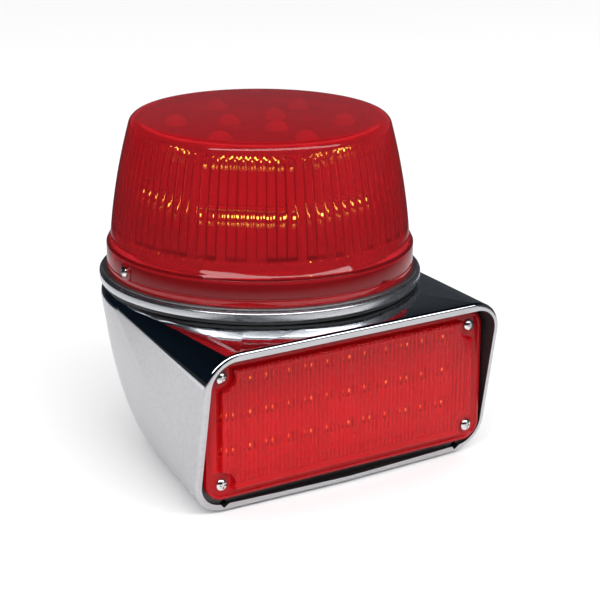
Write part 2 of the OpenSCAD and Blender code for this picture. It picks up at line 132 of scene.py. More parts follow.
def lined(tool, inside=True):
    """Marks the faces that a tool leaves on a casting as its unpolished inside, whose finish carries
    painted shade.
    """
    for face in tool.data.polygons:
        face.material_index = 1 if inside else 0
    return tool


def choose(piece, faces=None, edges=None, verts=None):
    """In edit mode, selects exactly the faces, edges or vertices that pass a test."""
    mesh = bmesh.from_edit_mesh(piece.data)
    kind = "FACE" if faces else "EDGE" if edges else "VERT"
    bpy.ops.mesh.select_mode(type=kind)
    bpy.ops.mesh.select_all(action="DESELECT")
    found = mesh.faces if faces else mesh.edges if edges else mesh.verts
    test = faces or edges or verts
    for part in found:
        if test(part):
            part.select_set(True)
    mesh.select_flush_mode()
    bmesh.update_edit_mesh(piece.data)


def smooth(piece, angle=30, weighted=False):
    """Shades smooth up to an angle; a weighted piece keeps its flat faces flat."""
    hold(piece)
    bpy.ops.object.shade_smooth_by_angle(angle=radians(angle))
    if weighted:
        bpy.ops.object.modifier_add(type="WEIGHTED_NORMAL")
        piece.modifiers[-1].keep_sharp = True
        piece.modifiers[-1].weight = 90
        bpy.ops.object.modifier_apply(modifier=piece.modifiers[-1].name)


def worked(piece, tool, how="DIFFERENCE"):
    """Cuts a tool out of a piece, or joins it on, and throws the tool away."""
    hold(piece)
    bpy.ops.object.modifier_add(type="BOOLEAN")
    change = piece.modifiers[-1]
    change.operation = how
    change.solver = "EXACT"
    change.object = tool
    bpy.ops.object.modifier_apply(modifier=change.name)
    bpy.data.objects.remove(tool)


def cleaned(piece, gap=0.02 * mm):
    """Merges the slivers that cutting leaves behind."""
    hold(piece)
    bpy.ops.object.mode_set(mode="EDIT")
    bpy.ops.mesh.select_all(action="SELECT")
    bpy.ops.mesh.remove_doubles(threshold=gap)
    bpy.ops.mesh.select_all(action="SELECT")
    bpy.ops.mesh.dissolve_degenerate(threshold=gap)
    bpy.ops.mesh.delete_loose(use_verts=True, use_edges=True, use_faces=False)
    bpy.ops.object.mode_set(mode="OBJECT")


def rod(name, centre, r, length, along="Z", sides=48, inside=True):
    """A plain round tool along one axis."""
    clear()
    turn = {"X": (0, pi / 2, 0), "Y": (pi / 2, 0, 0), "Z": (0, 0, 0)}[along]
    bpy.ops.mesh.primitive_cylinder_add(
        vertices=sides, radius=r, depth=length, location=centre, rotation=turn)
    return lined(named(name), inside)


def slab(name, low, high, corner=0.0, steps=12, inside=True):
    """A block with the corners of its X-Z outline rounded."""
    clear()
    size = Vector(high) - Vector(low)
    middle = (Vector(low) + Vector(high)) / 2
    bpy.ops.mesh.primitive_cube_add(size=1, location=middle, scale=size)
    block = named(name)
    if corner:
        bpy.ops.object.mode_set(mode="EDIT")
        choose(block, edges=lambda e: abs(e.verts[0].co.y - e.verts[1].co.y) > size.y / 2)
        bpy.ops.mesh.bevel(offset=corner, segments=steps, affect="EDGES")
        bpy.ops.object.mode_set(mode="OBJECT")
    return lined(block, inside)


edge_steps, lip_steps, lip_sides = 6, 5, 128


def bowl_rings(inset, count):
    """In edit mode, adds the level circles that the bowl is drawn over."""
    side_h = deck_z - deck_edge - 2 * inset
    for k in range(edge_steps + 1):
        a = pi / 2 * k / edge_steps
        bpy.ops.mesh.primitive_circle_add(
            vertices=ring_sides, radius=deck_r - deck_edge * (1 - sin(a)) - inset,
            location=(axis_x, axis_y, deck_z - deck_edge * (1 - cos(a)) - inset))
    for k in range(1, count + 1):
        t = sin(pi / 2 * k / count)
        bpy.ops.mesh.primitive_circle_add(
            vertices=ring_sides, radius=base_r + (deck_r - base_r) * sqrt(1 - t * t) - inset,
            location=(0, (axis_y - flank_lean) * (1 - t), inset + side_h * (1 - t)))


def lip_rings():
    """In edit mode, adds the four corner circles of the lip, once for each step of its edge."""
    for k in range(lip_steps + 1):
        a = pi / 2 * k / lip_steps
        inset, back = lip_edge * (1 - sin(a)), lip_edge * (1 - cos(a))
        for side in (-1, 1):
            for up in (lip_top - lip_corner, lip_corner - lip_bottom):
                spot = lip_at + Vector((side * (lip_half - lip_corner), 0, 0)) + up * lip_up
                bpy.ops.mesh.primitive_circle_add(
                    vertices=lip_sides, radius=lip_corner - inset,
                    location=spot - back * lip_out, rotation=(pi / 2 + rake, 0, 0))


def hulled(name, rings):
    """Stretches one skin over the circles that a function adds."""
    clear()
    bpy.ops.mesh.primitive_circle_add(vertices=3, radius=mm, location=(axis_x, axis_y, deck_z / 2))
    bpy.ops.object.mode_set(mode="EDIT")
    rings()
    bpy.ops.mesh.select_all(action="SELECT")
    bpy.ops.mesh.convex_hull(use_existing_faces=False, join_triangles=False)
    bpy.ops.mesh.select_all(action="SELECT")
    bpy.ops.mesh.dissolve_limited(angle_limit=radians(0.02))
    return named(name)


def housing_skin():
    bowl_rings(0, flank_rings)
    lip_rings()


housing = hulled("housing", housing_skin)
front = seat_y + wall
hollow_in, hollow_rings, hollow_sides = 2 * mm, 12, 64


def hollow_skin():
    """The inside of the bowl, drawn forward to the back of the mouth."""
    bowl_rings(wall, hollow_rings)
    for side, up in corners:
        bpy.ops.mesh.primitive_circle_add(
            vertices=hollow_sides, radius=mouth_corner, rotation=(pi / 2, 0, 0),
            location=(side * (mouth_half - hollow_in - mouth_corner), front,
                      lamp_z + up * (mouth_h / 2 - hollow_in - mouth_corner)))


hollow = hulled("hollow", hollow_skin)
bpy.ops.object.mode_set(mode="EDIT")
bpy.ops.mesh.select_all(action="SELECT")
bpy.ops.mesh.bisect(plane_co=(0, front, 0), plane_no=(0, -1, 0), use_fill=True, clear_outer=True)
bpy.ops.object.mode_set(mode="OBJECT")
worked(housing, lined(hollow))
mouth_low = lip_at.z - mouth_h
past_lip, mouth_steps, slack = 20 * mm, 24, 0.6 * mm
worked(housing, slab("mouth", (-mouth_half, lip_at.y - past_lip, mouth_low),
                     (mouth_half, seat_y, lip_at.z), mouth_corner, mouth_steps))
worked(housing, slab("window", (body_low.x - slack, seat_y - mm, body_low.z - slack),
                     (body_high.x + slack, front + mm, body_high.z + slack)))

# Round holes: through the deck under the beacon, a recess for the base plate, and through the floor.
plate_top, plate_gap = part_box("base_plate")[1], 0.2 * mm
deck_hole_r, deck_hole_long, floor_hole_r = 58 * mm, 40 * mm, 50 * mm
for name, centre, r, length in (
        ("deck_hole", (axis_x, axis_y, deck_z), deck_hole_r, deck_hole_long),
        ("base_recess", (0, 0, 0), plate_top.x + plate_gap, 2 * plate_top.z),
        ("floor_hole", (0, 0, 0), floor_hole_r, 4 * wall)):
    worked(housing, rod(name, centre, r, length, sides=96))
weep_x, weep_w, weep_back, weep_long = 76 * mm, 3.6 * mm, 14 * mm, 12 * mm
for side in (-1, 1):
    clear()
    bpy.ops.mesh.primitive_cube_add(
        size=1, location=(side * weep_x, lip_at.y + weep_back, mouth_low),
        rotation=(0, pi / 4, 0), scale=(weep_w, weep_long, weep_w))
    worked(housing, lined(named("weep_notch")))

# Posts take the lamp's screws, the beacon's bolts and the base plate's screws. Each kind has its
# direction, its radius, its length and the radius of its tapping.
bolt_r, plate_screw_r, post_in, post_back = 74 * mm, 49 * mm, 7.5 * mm, 3 * mm
tap_down, tap_past, tap_sides = Vector((0, 0, mm)), 4 * mm, 24
bolt_turns = [pi / 4 + k * pi / 2 for k in range(4)]
lamp_posts = [Vector((side * screw_x, front + post_back, lamp_z + up * screw_z)) for side, up in corners]
bolt_posts = [Vector((axis_x + bolt_r * cos(a), axis_y + bolt_r * sin(a), deck_z - post_in))
              for a in bolt_turns]
plate_posts = [Vector((plate_screw_r * cos(k * pi / 2), plate_screw_r * sin(k * pi / 2), post_in))
               for k in range(4)]
for spots, along, r, length, tap_r in (
        (lamp_posts, "Y", 5.5 * mm, 10 * mm, 1.7 * mm),
        (bolt_posts, "Z", 6 * mm, 9 * mm, 2.5 * mm),
        (plate_posts, "Z", 5 * mm, 9 * mm, 1.7 * mm)):
    for spot in spots:
        worked(housing, rod("post", spot, r, length, along), "UNION")
        start = spot - tap_down if along == "Z" else spot
        worked(housing, rod("tapping", start, tap_r, length + tap_past, along, tap_sides))


def new_material(name):
    """A fresh material: its node tree and its main shader."""
    material = bpy.data.materials.new(name)
    material.use_nodes = True
    tree = material.node_tree
    return material, tree, tree.nodes["Principled BSDF"]


def new_group(name, numbers, outs):
    """A shader group with number inputs, and outputs named with their kinds."""
    tree = bpy.data.node_groups.new(name, "ShaderNodeTree")
    for label, value in numbers:
        socket = tree.interface.new_socket(label, in_out="INPUT", socket_type="NodeSocketFloat")
        socket.default_value = value
    for label, kind in outs:
        tree.interface.new_socket(label, in_out="OUTPUT", socket_type="NodeSocket" + kind)
    start = tree.nodes.new("NodeGroupInput")
    end = tree.nodes.new("NodeGroupOutput")
    return tree, start.outputs, end.inputs


def feed(tree, socket, value):
    """Links an input to another node's output, or gives it a plain value."""
    if isinstance(value, bpy.types.NodeSocket):
        tree.links.new(value, socket)
    else:
        socket.default_value = value


def node(tree, kind, values=None, **settings):
    """Adds a node, sets its properties, then feeds its inputs, by name or by number."""
    made = tree.nodes.new("ShaderNode" + kind)
    for label, value in settings.items():
        setattr(made, label, value)
    for label, value in (values or {}).items():
        feed(tree, made.inputs[label], value)
    return made


def remap(tree, value, low, high, to_low, to_high):
    """Moves a value from one range to another, held inside it."""
    return node(tree, "MapRange", {"Value": value, "From Min": low, "From Max": high,
                                   "To Min": to_low, "To Max": to_high}).outputs[0]


def mixed(tree, mask, first, second):
    """Blends two colours by a mask."""
    return node(tree, "Mix", {0: mask, 6: first, 7: second}, data_type="RGBA").outputs[2]


def maths(tree, operation, *values, clamp=False):
    """One step of arithmetic on numbers or sockets."""
    return node(tree, "Math", dict(enumerate(values)), operation=operation, use_clamp=clamp).outputs[0]


# Buffing marks, cast pores and moulded texture are one group, which nearly every material uses.
shade_low, shade_high = 0.9, 1.0
cloud_scale, ridge_deep = 38.0, 0.0002
grain, grain_in, grain_out = new_group(
    "metal_grain", [("Scale", 400), ("Stretch X", 1), ("Stretch Y", 1), ("Stretch Z", 1),
                    ("Smooth", 0.1), ("Rough", 0.3), ("Bump", 0.1)],
    [("Roughness", "Float"), ("Shade", "Float"), ("Normal", "Vector")])
coords = node(grain, "TexCoord").outputs["Object"]
stretch = node(grain, "CombineXYZ", {axis: grain_in["Stretch " + axis] for axis in "XYZ"}).outputs[0]
pulled = node(grain, "VectorMath", {0: coords, 1: stretch}, operation="MULTIPLY").outputs[0]
fine = node(grain, "TexNoise", {"Vector": pulled, "Scale": grain_in["Scale"], "Detail": 6.0,
                                "Roughness": 0.65}).outputs["Fac"]
cloud = node(grain, "TexNoise", {"Vector": coords, "Scale": cloud_scale, "Detail": 3.0}).outputs["Fac"]
feed(grain, grain_out["Roughness"], remap(
    grain, maths(grain, "MULTIPLY", fine, cloud), 0.12, 0.42, grain_in["Smooth"], grain_in["Rough"]))
feed(grain, grain_out["Shade"], remap(grain, fine, 0.3, 0.7, shade_low, shade_high))
feed(grain, grain_out["Normal"], node(grain, "Bump", {
    "Height": fine, "Strength": grain_in["Bump"], "Distance": ridge_deep}).outputs[0])


def grained(tree, scale, low, high, bump, pull=(1, 1, 1)):
    """Places the grain: its scale, its roughness between two limits, its relief and its stretch."""
    return node(tree, "Group", {
        "Scale": scale, "Stretch X": pull[0], "Stretch Y": pull[1], "Stretch Z": pull[2],
        "Smooth": low, "Rough": high, "Bump": bump}, node_tree=grain).outputs


def clean(tree, marks):
    """The grain's shade as a mask, from 0 where it is dullest to 1."""
    return remap(tree, marks["Shade"], shade_low, shade_high, 0, 1)


def dressed(tree, shader, marks, dull, colour):
    """Feeds a shader's colour, between two, and its roughness and surface from the grain."""
    feed(tree, shader.inputs["Base Color"], mixed(tree, clean(tree, marks), (*dull, 1), (*colour, 1)))
    feed(tree, shader.inputs["Roughness"], marks["Roughness"])
    feed(tree, shader.inputs["Normal"], marks["Normal"])


dull_share = 0.72


def metal(name, colour, low, high, scale=400, pull=(1, 1, 1), bump=0.1, metallic=1.0):
    """A metal whose roughness, shade and surface vary with its grain."""
    material, tree, shader = new_material(name)
    marks = grained(tree, scale, low, high, bump, pull)
    dressed(tree, shader, marks, tuple(dull_share * c for c in colour), colour)
    shader.inputs["Metallic"].default_value = metallic
    return material


# The buffing wheel reaches the level deck best, so the deck is a mirror and the flanks are satin.
# The flanks are also coloured darker than the deck, by how far the surface leans from level:
# partly their satin finish, partly painted shade.
upright, level = 0.04, 0.20
flank_shaded_dull, flank_shaded_clean = (0.43, 0.43, 0.445, 1), (0.53, 0.53, 0.545, 1)
deck_dull, deck_clean = (0.7, 0.72, 0.75, 1), (0.84, 0.86, 0.9, 1)
flank_rough, deck_rough = 0.30, 0.05
polished, tree, shader = new_material("polished_casting")
marks = grained(tree, 260, 0.0, 1.0, 0.035, (0.35, 3.0, 2.0))
normal = node(tree, "NewGeometry").outputs["Normal"]
facing = node(tree, "SeparateXYZ", {"Vector": normal}).outputs["Z"]
deck = remap(tree, facing, upright, level, 0, 1)
feed(tree, shader.inputs["Roughness"], maths(
    tree, "MULTIPLY", remap(tree, facing, upright, level, flank_rough, deck_rough),
    remap(tree, marks["Roughness"], 0.0, 1.0, 0.92, 1.15)))
# The colour is darker where the surface leans away from level: painted shade on the flanks.
feed(tree, shader.inputs["Base Color"], mixed(
    tree, clean(tree, marks), mixed(tree, deck, flank_shaded_dull, deck_dull),
    mixed(tree, deck, flank_shaded_clean, deck_clean)))
feed(tree, shader.inputs["Normal"], marks["Normal"])
shader.inputs["Metallic"].default_value = 1.0

# The pocket and the inside: an unpolished cast finish, coloured nearly black as painted shade for the
# recess.
shaded_cast = metal("shaded_cast", (0.10, 0.10, 0.105), 0.45, 0.65, scale=900, bump=0.5)
lip_land = metal("lip_land", (0.93, 0.925, 0.92), 0.38, 0.55, scale=700, pull=(0.4, 1, 2.5),
                 bump=0.12, metallic=0.4)
for material in (polished, shaded_cast, lip_land):
    housing.data.materials.append(material)
square_on, lip_near, sliver = 0.9995, 0.2 * mm, 0.05 * mm
for face in housing.data.polygons:
    proud = (face.center - lip_at).dot(lip_out)
    if face.normal.dot(lip_out) > square_on and abs(proud) < lip_near:
        face.material_index = 2
cleaned(housing, sliver)
smooth(housing, 28, weighted=True)
settled(housing, "housing_shell", "housing_casting")

# ---------- The base plate, its screws and the cable grommet ----------
# A stainless disc closes the bowl from below on four countersunk screws. Four more holes take the
# vehicle's bolts, and a moulded rubber grommet seals the cable in the middle.


def finish(names, material):
    """Gives kept pieces a finish in place of the one they came with."""
    for name in names:
        mesh = nodes[name].data
        mesh.materials.clear()
        mesh.materials.append(material)


finish(["base_plate"], metal(
    "brushed_sheet", (0.62, 0.63, 0.65), 0.22, 0.42, scale=500, pull=(0.05, 3, 1)))
finish(["base_plate_screws"], metal(
    "black_oxide", (0.05, 0.05, 0.055), 0.3, 0.5, scale=900, bump=0.15))


def moulded(name, colour, spot, low, high, scale=700, bump=0.2, coat=0.0):
    """A moulded material: a second colour in soft blotches, and a fine spark-eroded texture."""
    material, tree, shader = new_material(name)
    dressed(tree, shader, grained(tree, scale, low, high, bump), spot, colour)
    shader.inputs["Coat Weight"].default_value = coat
    return material


rubber = moulded("black_rubber", (0.012, 0.012, 0.013), (0.025, 0.025, 0.026), 0.45, 0.75,
                 scale=1200)
finish(["cable_grommet"], rubber)

# ---------- The terminal block and the leads inside ----------
# An ivory three-way block screwed to the base plate, with a red sleeved lead to each lamp.
finish(["terminal_block"], moulded(
    "ivory_block", (0.78, 0.74, 0.62), (0.66, 0.61, 0.48), 0.35, 0.5))
bright_steel = metal("bright_steel", (0.78, 0.78, 0.79), 0.12, 0.3, scale=600, bump=0.06)
finish(["terminal_screws", "tie_rods", "tie_nuts", "beacon_bolts"], bright_steel)
finish(["lamp_lead", "beacon_lead"], moulded(
    "red_sleeve", (0.45, 0.02, 0.02), (0.3, 0.01, 0.01), 0.3, 0.45))

# ---------- The rectangular lamp ----------
# A sealed lamp sits in the mouth on a flat rubber gasket: a white moulded body, a circuit board of
# surface-mounted LEDs, a white reflector and a red acrylic lens held by four screws.
finish(["lamp_gasket"], rubber)

board_finish, tree, shader = new_material("circuit_board")
coords = node(tree, "TexCoord").outputs["Object"]
tracks = node(tree, "TexBrick", {"Vector": coords, "Scale": 260.0, "Mortar Size": 0.03,
                                 "Color1": (0.010, 0.11, 0.035, 1), "Color2": (0.014, 0.15, 0.05, 1),
                                 "Mortar": (0.03, 0.22, 0.08, 1)}).outputs
feed(tree, shader.inputs["Base Color"], tracks["Color"])
feed(tree, shader.inputs["Roughness"], remap(tree, tracks["Fac"], 0, 1, 0.25, 0.4))
finish(["lamp_board", "lower_boards", "upper_boards", "driver_board"], board_finish)

plated = metal("plated_reflector", (0.86, 0.86, 0.87), 0.24, 0.34, scale=300, bump=0.04)
finish(["lower_reflectors", "upper_reflectors"], plated)
white = moulded("white_moulding", (0.82, 0.81, 0.79), (0.74, 0.73, 0.71), 0.3, 0.45)
finish(["lamp_reflector", "lamp_body"], white)


def phosphor(name, strength, through):
    """A lit chip under amber phosphor. Camera and diffuse rays see it amber; other rays, those that come
    through the red lenses, see light painted green-yellow, so it shows through them as painted yellow
    glints.
    """
    material, tree, shader = new_material(name)
    coords = node(tree, "TexCoord").outputs["Object"]
    spots = node(tree, "TexNoise", {"Vector": coords, "Scale": 900.0}).outputs["Fac"]
    powder = mixed(tree, spots, (1.0, 0.55, 0.05, 1), (1.0, 0.70, 0.15, 1))
    feed(tree, shader.inputs["Base Color"], powder)
    path = node(tree, "LightPath").outputs
    bare = maths(tree, "MAXIMUM", path["Is Camera Ray"], path["Is Diffuse Ray"])
    # Painted glints: rays that pass through the red lenses see green-yellow light, which the red tint
    # turns to yellow glints.
    yellow = [(*(through * c for c in tone), 1) for tone in ((0.05, 0.9, 0.08), (0.07, 1.0, 0.12))]
    painted_glint, amber = mixed(tree, spots, *yellow), (1.0, 0.5, 0.04, 1)
    feed(tree, shader.inputs["Emission Color"], mixed(tree, bare, painted_glint, amber))
    shader.inputs["Emission Strength"].default_value = strength
    shader.inputs["Roughness"].default_value = 0.35
    return material


beacon_chip = phosphor("beacon_phosphor", 110.0, 1.0)
lamp_chip = phosphor("lamp_phosphor", 110.0, 0.4)
package = moulded("led_package", (0.82, 0.81, 0.78), (0.7, 0.69, 0.66), 0.3, 0.45)

led_side, led_tall = 3.4 * mm, 1.2 * mm
led_rim, cup_slope, cup_deep = 0.5 * mm, 0.45 * mm, 0.15 * mm
clear()
bpy.ops.mesh.primitive_cube_add(
    size=1, location=(0, 0, led_tall / 4), scale=(led_side, led_side, led_tall / 2))
led = named("led")
bpy.ops.object.mode_set(mode="EDIT")
choose(led, faces=lambda f: f.normal.z > 0.9)
bpy.ops.mesh.inset(thickness=led_rim, depth=-cup_deep)
bpy.ops.mesh.inset(thickness=cup_slope, depth=0)
bpy.ops.object.mode_set(mode="OBJECT")
led.data.materials.append(package)
led.data.materials.append(lamp_chip)
for face in led.data.polygons:
    if face.normal.z > 0.9 and max(abs(face.center.x), abs(face.center.y)) < 0.1 * mm:
        face.material_index = 1


def populated(name, spots, replaced):
    """Solders a copy of the LED at each spot and joins them as one board's worth."""
    clear()
    for place in spots:
        one = led.copy()
        one.data = led.data.copy()
        one.data.transform(place)
        bpy.context.scene.collection.objects.link(one)
        one.select_set(True)
        bpy.context.view_layer.objects.active = one
    bpy.ops.object.join()
    settled(bpy.context.object, name, replaced)


led_low, led_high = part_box("lamp_emitters")
led_back = led_high.y
columns, rows = 12, 3
step_x = (led_high.x - led_low.x - led_side) / (columns - 1)
step_z = (led_high.z - led_low.z - led_side) / (rows - 1)
forward = Matrix.Rotation(pi / 2, 4, "X")
populated("lamp_leds", [
    Matrix.Translation((led_low.x + led_side / 2 + i * step_x, led_back,
                        led_low.z + led_side / 2 + j * step_z))
    @ forward for i in range(columns) for j in range(rows)], "lamp_emitters")

# The lens is moulded in one: a flange with a fine bead round it, and a raised window whose back is
# drawn into fine upright flutes.
flange_t, flange_corner, flange_steps = 3 * mm, 10 * mm, 16
bead_in, bead_w, bead_h = 1.6 * mm, 0.6 * mm, 0.5 * mm
flange_y = gasket_low.y - flange_t
optic_y = flange_low.y
optic_half, optic_up = 81 * mm, 33 * mm
scoop_r = 7 * mm
lamp_lens = slab("lamp_lens_moulding", (flange_low.x, flange_y, flange_low.z),
                 (flange_high.x, gasket_low.y, flange_high.z), flange_corner, flange_steps, inside=False)
bpy.ops.object.mode_set(mode="EDIT")
choose(lamp_lens, faces=lambda f: f.normal.y < -0.9)
bpy.ops.mesh.inset(thickness=bead_in, depth=0)
bpy.ops.transform.translate(value=(0, -bead_h, 0))
bpy.ops.mesh.inset(thickness=bead_w, depth=0)
bpy.ops.transform.translate(value=(0, bead_h, 0))
bpy.ops.object.mode_set(mode="OBJECT")


def scooped(name, y_low, y_high, shrink):
    """A block of the window's outline, scooped clear of the four screws."""
    block = slab(name, (-optic_half + shrink, y_low, lamp_z - optic_up + shrink),
                 (optic_half - shrink, y_high, lamp_z + optic_up - shrink), 0, inside=False)
    reach, depth = 12 * mm, Vector((0, 20 * mm, 0))
    for side, up in corners:
        spot = Vector((side * screw_x, (y_low + y_high) / 2, lamp_z + up * screw_z))
        worked(block, rod("scoop", spot, scoop_r + shrink, 2 * depth.y, "Y", 48, inside=False))
        far = spot + Vector((side * reach, 0, up * reach))
        low = Vector([min(a, b) for a, b in zip(spot, far)]) - depth
        high = Vector([max(a, b) for a, b in zip(spot, far)]) + depth
        worked(block, slab("scoop_corner", low, high, inside=False))
    return block


on_plane, sharp, optic_round = 0.01 * mm, 1, 0.9 * mm
optic = scooped("optic", optic_y, flange_y + mm, 0)
hold(optic)
bpy.ops.object.mode_set(mode="EDIT")
choose(optic, edges=lambda e: all(v.co.y < optic_y + on_plane for v in e.verts)
       and len(e.link_faces) == 2 and e.calc_face_angle(0) > sharp)
bpy.ops.mesh.bevel(offset=optic_round, segments=4, affect="EDGES")
bpy.ops.object.mode_set(mode="OBJECT")
worked(lamp_lens, optic, "UNION")
flutes, flute_steps = 58, 6
optic_wall = 2.6 * mm
flute_low, flute_high = lamp_z - optic_up + optic_wall, lamp_z + optic_up - optic_wall
flute_pitch = 2 * (optic_half - optic_wall) / flutes
flute_deep, tool_t, trim_back = 1.1 * mm, 12 * mm, 20 * mm
clear()
bpy.ops.mesh.primitive_grid_add(
    x_subdivisions=flutes * flute_steps, y_subdivisions=2, size=1, rotation=(pi / 2, 0, 0),
    location=(0, optic_y + optic_wall + flute_deep, lamp_z))
bpy.context.object.scale = (flutes * flute_pitch, flute_high - flute_low, 1)
fluted = named("flute_tool")
bpy.ops.object.mode_set(mode="EDIT")
left = -flutes * flute_pitch / 2
for k in range(flute_steps):
    lift = flute_deep * abs(sin(pi * k / flute_steps))
    choose(fluted, verts=lambda v: round(
        (v.co.x - left) / flute_pitch * flute_steps) % flute_steps == k)
    bpy.ops.transform.translate(value=(0, lift, 0))
bpy.ops.mesh.select_all(action="SELECT")
bpy.ops.mesh.extrude_region_move(TRANSFORM_OT_translate={"value": (0, tool_t, 0)})
bpy.ops.mesh.select_all(action="SELECT")
bpy.ops.mesh.normals_make_consistent(inside=False)
bpy.ops.object.mode_set(mode="OBJECT")
trim = scooped("flute_trim", optic_y, flange_y + trim_back, optic_wall)
worked(fluted, trim, "INTERSECT")
worked(lamp_lens, fluted)
lens_hole_r, lens_hole_long = 1.9 * mm, 20 * mm
screw_spots = [Vector((side * screw_x, flange_y, lamp_z + up * screw_z)) for side, up in corners]
for spot in screw_spots:
    worked(lamp_lens, rod("screw_hole", spot, lens_hole_r, lens_hole_long, "Y", 32, inside=False))
smooth(lamp_lens, 32)


# Painted shade on the tinted plastic, for the shade that the flutes refract: dark lines where two flutes
# meet, each flute a little darker or lighter than the next, and dark marks round the feet of the flutes.
ribs, ribs_in, ribs_out = new_group(
    "flute_painted_shade", [("Flute", 0), ("Within", 1), ("Foot", 0)], [("Shade", "Float")])
across = maths(ribs, "ABSOLUTE", maths(ribs, "SUBTRACT", maths(ribs, "FRACT", ribs_in["Flute"]), 0.5))
edge = remap(ribs, across, 0.40, 0.49, 0, 1)
chance = node(ribs, "TexWhiteNoise", {"W": maths(ribs, "FLOOR", ribs_in["Flute"])},
              noise_dimensions="1D").outputs["Value"]
seam_shade = maths(ribs, "MULTIPLY", edge, remap(ribs, chance, 0, 1, 0.30, 0.85))
stripe_shade = maths(ribs, "ADD", seam_shade, maths(ribs, "MULTIPLY", chance, 0.04))
foot_shade = maths(ribs, "MULTIPLY", ribs_in["Foot"], remap(ribs, chance, 0.2, 0.9, 0.1, 0.75))
painted_dark = maths(ribs, "MAXIMUM", maths(ribs, "MULTIPLY", stripe_shade, ribs_in["Within"]), foot_shade)
feed(ribs, ribs_out["Shade"], maths(ribs, "SUBTRACT", 1.0, painted_dark))
# shaded_share is how much of the colour is left under full painted shade.
shaded_share, lens_grain, lens_relief = 0.3, 90, 0.02


def tinted(name, colour, rough, clear_share, index, flute):
    """Clear moulded acrylic, tinted through, with painted shade in its colour. The flute function gives,
    at a place, the flute's number, a mask of the flutes, a mask of their feet, and a mask of painted
    shade on the wall."""
    material, tree, shader = new_material(name)
    marks = grained(tree, lens_grain, 0.0, rough, lens_relief)
    coords = node(tree, "TexCoord").outputs["Object"]
    at, within, foot, painted_shade = flute(tree, node(tree, "SeparateXYZ", {"Vector": coords}).outputs)
    shade = node(tree, "Group", {"Flute": at, "Within": within, "Foot": foot}, node_tree=ribs).outputs[0]
    grain_and_shade = maths(tree, "MULTIPLY", marks["Shade"], maths(tree, "SUBTRACT", 1.0, painted_shade))
    shaded_colour = tuple(shaded_share * c for c in colour)
    # The colour falls to a darker red with the flutes' painted shade, the mask of painted shade, and the
    # grain's random tone.
    feed(tree, shader.inputs["Base Color"], mixed(
        tree, maths(tree, "MULTIPLY", shade, grain_and_shade), (*shaded_colour, 1), (*colour, 1)))
    feed(tree, shader.inputs["Roughness"], marks["Roughness"])
    feed(tree, shader.inputs["Normal"], marks["Normal"])
    shader.inputs["Transmission Weight"].default_value = clear_share
    shader.inputs["IOR"].default_value = index
    shader.inputs["Specular IOR Level"].default_value = 0.3
    return material


def lamp_flute(tree, place):
    """Upright flutes at one pitch across the window, with painted shade towards its top, where the lip
    shades it.
    """
    tall = maths(tree, "ABSOLUTE", maths(tree, "SUBTRACT", place["Z"], lamp_z))
    wide = maths(tree, "ABSOLUTE", place["X"])
    # Painted shade: the window darkens towards its top, under the lip.
    visor_shade = remap(tree, place["Z"], lamp_z + 2 * mm, lamp_z + 22 * mm, 0, 0.22)
    inside = maths(tree, "MULTIPLY", remap(tree, tall, optic_up - 3 * mm, optic_up - 2 * mm, 0.45, 0),
                   remap(tree, wide, optic_half - 3 * mm, optic_half - 2 * mm, 1, 0))
    return maths(tree, "DIVIDE", place["X"], flute_pitch), inside, 0.0, visor_shade


def joined(pieces, name, material, replaced):
    """Joins like pieces into one named set with one finish."""
    clear()
    for piece in pieces:
        piece.select_set(True)
    bpy.context.view_layer.objects.active = pieces[0]
    if len(pieces) > 1:
        bpy.ops.object.join()
    whole = bpy.context.object
    whole.data.materials.clear()
    whole.data.materials.append(material)
    return settled(whole, name, replaced)


lamp_red = tinted("lamp_lens_red", (0.84, 0.012, 0.020), 0.04, 0.72, 1.3, lamp_flute)
joined([lamp_lens], "lamp_lens_moulding", lamp_red, "lamp_lens")

# Four cross-recessed stainless pan heads hold the lens and the lamp down on the gasket.


dome_share, overlap = 1.35, 0.1 * mm
recess_long, recess_wide = 1.15, 0.3


def pan_screw(name, place, head_r, head_h, shank_r, shank_l):
    """A pan-head screw with a cross recess, head towards +Z, set down at a place."""
    clear()
    ball = head_r * dome_share
    bpy.ops.mesh.primitive_uv_sphere_add(
        segments=40, ring_count=24, radius=ball, location=(0, 0, head_h - ball))
    screw = named(name)
    side = rod("head_side", (0, 0, 0), head_r, 2 * head_h, sides=40, inside=False)
    worked(screw, side, "INTERSECT")
    bpy.ops.object.mode_set(mode="EDIT")
    bpy.ops.mesh.select_all(action="SELECT")
    bpy.ops.mesh.bisect(plane_co=(0, 0, 0), plane_no=(0, 0, -1), use_fill=True, clear_outer=True)
    bpy.ops.object.mode_set(mode="OBJECT")
    shank = rod("shank", (0, 0, -shank_l / 2 + overlap), shank_r, shank_l + 2 * overlap, sides=24,
                inside=False)
    worked(screw, shank, "UNION")
    for turn in (0, pi / 2):
        clear()
        bpy.ops.mesh.primitive_cube_add(
            size=1, location=(0, 0, head_h), rotation=(0, 0, turn),
            scale=(head_r * recess_long, head_r * recess_wide, head_h))
        worked(screw, named("recess"))
    screw.data.transform(place)
    cleaned(screw)
    smooth(screw, 35)
    return screw


screw_steel = metal("screw_steel", (0.8, 0.8, 0.8), 0.10, 0.28, scale=500, bump=0.04)
screws = [pan_screw("lamp_screw_set", Matrix.Translation(spot) @ forward,
                    3.3 * mm, 2.4 * mm, 1.6 * mm, 11 * mm) for spot in screw_spots]
joined(screws, "lamp_screw_set", screw_steel, "lamp_screws")

# ---------- The collar: gasket and ring ----------
# A black rubber gasket seals the beacon to the deck. The ring on it is turned from aluminium bar and
# polished, with a small chamfer at its foot and a rounded shoulder at its top.


